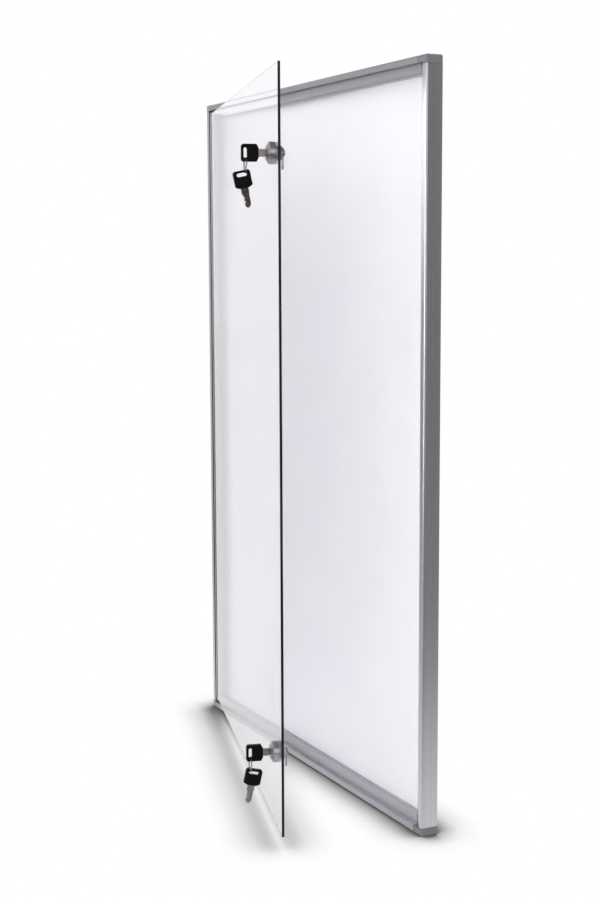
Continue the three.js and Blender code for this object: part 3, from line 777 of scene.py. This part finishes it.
def studio_flat(name, place, size, turn, beside_door, levels):
    """A lit flat for mirrors to show. A mirror seen through the acrylic door shows it graded
    through (height above the floor, level) points, and one beside the door shows it at one even
    level. The lens sees it only through the acrylic, as white as the surround."""
    material = new_material(name)
    tree = material.node_tree
    point = (add(tree, "ShaderNodeTexCoord"), "Object")
    axes = add(tree, "ShaderNodeSeparateXYZ", links={"Vector": point})
    height = add(
        tree,
        "ShaderNodeMapRange",
        {"From Min": BOARD_FOOT, "From Max": BOARD_FOOT + FLAT_REACH},
        {"Value": (axes, "Z")},
    )
    graded = add(tree, "ShaderNodeValToRGB", links={"Fac": (height, "Result")})
    graded.color_ramp.elements.remove(graded.color_ramp.elements[1])
    graded.color_ramp.elements[0].color = (levels[0][1] / FLAT_BRIGHTEST,) * 3 + (1.0,)
    for metres, level in levels[1:]:
        stop = graded.color_ramp.elements.new(metres / FLAT_REACH)
        stop.color = (level / FLAT_BRIGHTEST,) * 3 + (1.0,)
    rays = add(tree, "ShaderNodeLightPath")
    mirrored = add(
        tree,
        "ShaderNodeMix",
        {"A": (beside_door / FLAT_BRIGHTEST,) * 3 + (1.0,)},
        {"Factor": (rays, "Transmission Depth"), "B": (graded, "Color")},
        data_type="RGBA",
    )
    seen = add(
        tree,
        "ShaderNodeMix",
        {"A": (1 / FLAT_BRIGHTEST,) * 3 + (1.0,)},
        {"Factor": (rays, "Glossy Depth"), "B": (mirrored, "Result")},
        data_type="RGBA",
    )
    cloth = add(tree, "ShaderNodeEmission", {"Strength": FLAT_BRIGHTEST}, {"Color": (seen, "Result")})
    add(tree, "ShaderNodeOutputMaterial", links={"Surface": (cloth, "Emission")})
    bpy.ops.object.select_all(action="DESELECT")
    bpy.ops.mesh.primitive_plane_add(size=1, location=place, rotation=[math.radians(a) for a in turn])
    piece = bpy.context.object
    piece.name = name
    piece.scale = (size[0], size[1], 1)
    bpy.ops.object.transform_apply(location=True, rotation=True, scale=True)
    paint(piece, material)
    piece.visible_camera = False
    piece.visible_diffuse = False
    piece.visible_shadow = False


def lamp(name, place, target, size, watts):
    """A soft lamp that no mirror shows."""
    light = bpy.data.lights.new(name, "AREA")
    light.shape = "RECTANGLE"
    light.size = size[0]
    light.size_y = size[1]
    light.energy = watts
    piece = bpy.data.objects.new(name, light)
    bpy.context.scene.collection.objects.link(piece)
    piece.location = place
    piece.rotation_euler = (Vector(target) - Vector(place)).to_track_quat("-Z", "Y").to_euler()
    piece.visible_glossy = False


def white_surround():
    """White wherever it is seen or mirrored, and a little brighter for the light that it sheds."""
    world = bpy.data.worlds.new("white_surround")
    world.use_nodes = True
    tree = world.node_tree
    tree.nodes.clear()
    rays, _, seen = ray_kinds(tree)
    direct = add(
        tree,
        "ShaderNodeMath",
        links={0: (seen, "Value"), 1: (rays, "Diffuse Depth")},
        operation="SUBTRACT",
        use_clamp=True,
    )
    level = add(
        tree,
        "ShaderNodeMapRange",
        {"To Min": 1.08, "To Max": 1.0},
        {"Value": (direct, "Value")},
    )
    light = add(
        tree,
        "ShaderNodeBackground",
        {"Color": linear("#ffffff")},
        {"Strength": (level, "Result")},
    )
    add(tree, "ShaderNodeOutputWorld", links={"Surface": (light, "Background")})
    return world


bpy.ops.object.select_all(action="DESELECT")
bpy.ops.mesh.primitive_plane_add(size=FLOOR_SIZE, location=(0, 0, BOARD_FOOT))
floor = bpy.context.object
floor.name = "studio_floor"
bpy.ops.object.transform_apply(location=True, rotation=True, scale=True)
paint(floor, studio_floor())

studio_flat(
    "right_flat",
    place=(2.6, 1.6, FLAT_MIDDLE),
    size=(3.4, FLAT_REACH),
    turn=(90, 0, -60),
    beside_door=0.2,
    levels=[(0, 0.19), (3, 0.24)],
)
studio_flat(
    "left_flat",
    place=(-1.8, -1.36, FLAT_MIDDLE),
    size=(2.2, FLAT_REACH),
    turn=(90, 0, -57),
    beside_door=0.64,
    levels=[
        (0, 0.32),
        (0.3, 0.34),
        (0.6, 0.36),
        (0.85, 1.5),
        (1.0, 2.4),
        (1.35, 2.4),
        (1.55, 0.2),
        (3.2, 0.12),
    ],
)
studio_flat(
    "dark_ceiling",
    place=(0, -0.4, CEILING),
    size=(5, 3.6),
    turn=(0, 0, 0),
    beside_door=0.25,
    levels=[(0, 0.25), (3, 0.25)],
)
lamp(
    "front_softbox",
    place=(-1.0, -2.65, LAMP_HEIGHT),
    target=(0, 0, LAMP_HEIGHT),
    size=(3.2, 1.6),
    watts=95,
)
bpy.context.scene.world = white_surround()


# Camera
forward = Vector(
    (
        math.sin(CAMERA_YAW) * math.cos(CAMERA_PITCH),
        math.cos(CAMERA_YAW) * math.cos(CAMERA_PITCH),
        math.sin(CAMERA_PITCH),
    )
)
level_right = forward.cross(Vector((0, 0, 1))).normalized()
level_up = level_right.cross(forward)
right = level_right * math.cos(CAMERA_ROLL) + level_up * math.sin(CAMERA_ROLL)
up = level_up * math.cos(CAMERA_ROLL) - level_right * math.sin(CAMERA_ROLL)
lens = bpy.data.cameras.new("camera")
lens.sensor_fit = "VERTICAL"
lens.sensor_height = CAMERA_SENSOR
lens.lens = CAMERA_LENS
camera = bpy.data.objects.new("camera", lens)
bpy.context.scene.collection.objects.link(camera)
camera_axes = Matrix((right, up, -forward)).transposed().to_4x4()
camera.matrix_world = Matrix.Translation(CAMERA_PLACE) @ camera_axes
bpy.context.scene.camera = camera
bpy.context.scene.view_settings.view_transform = "Standard"
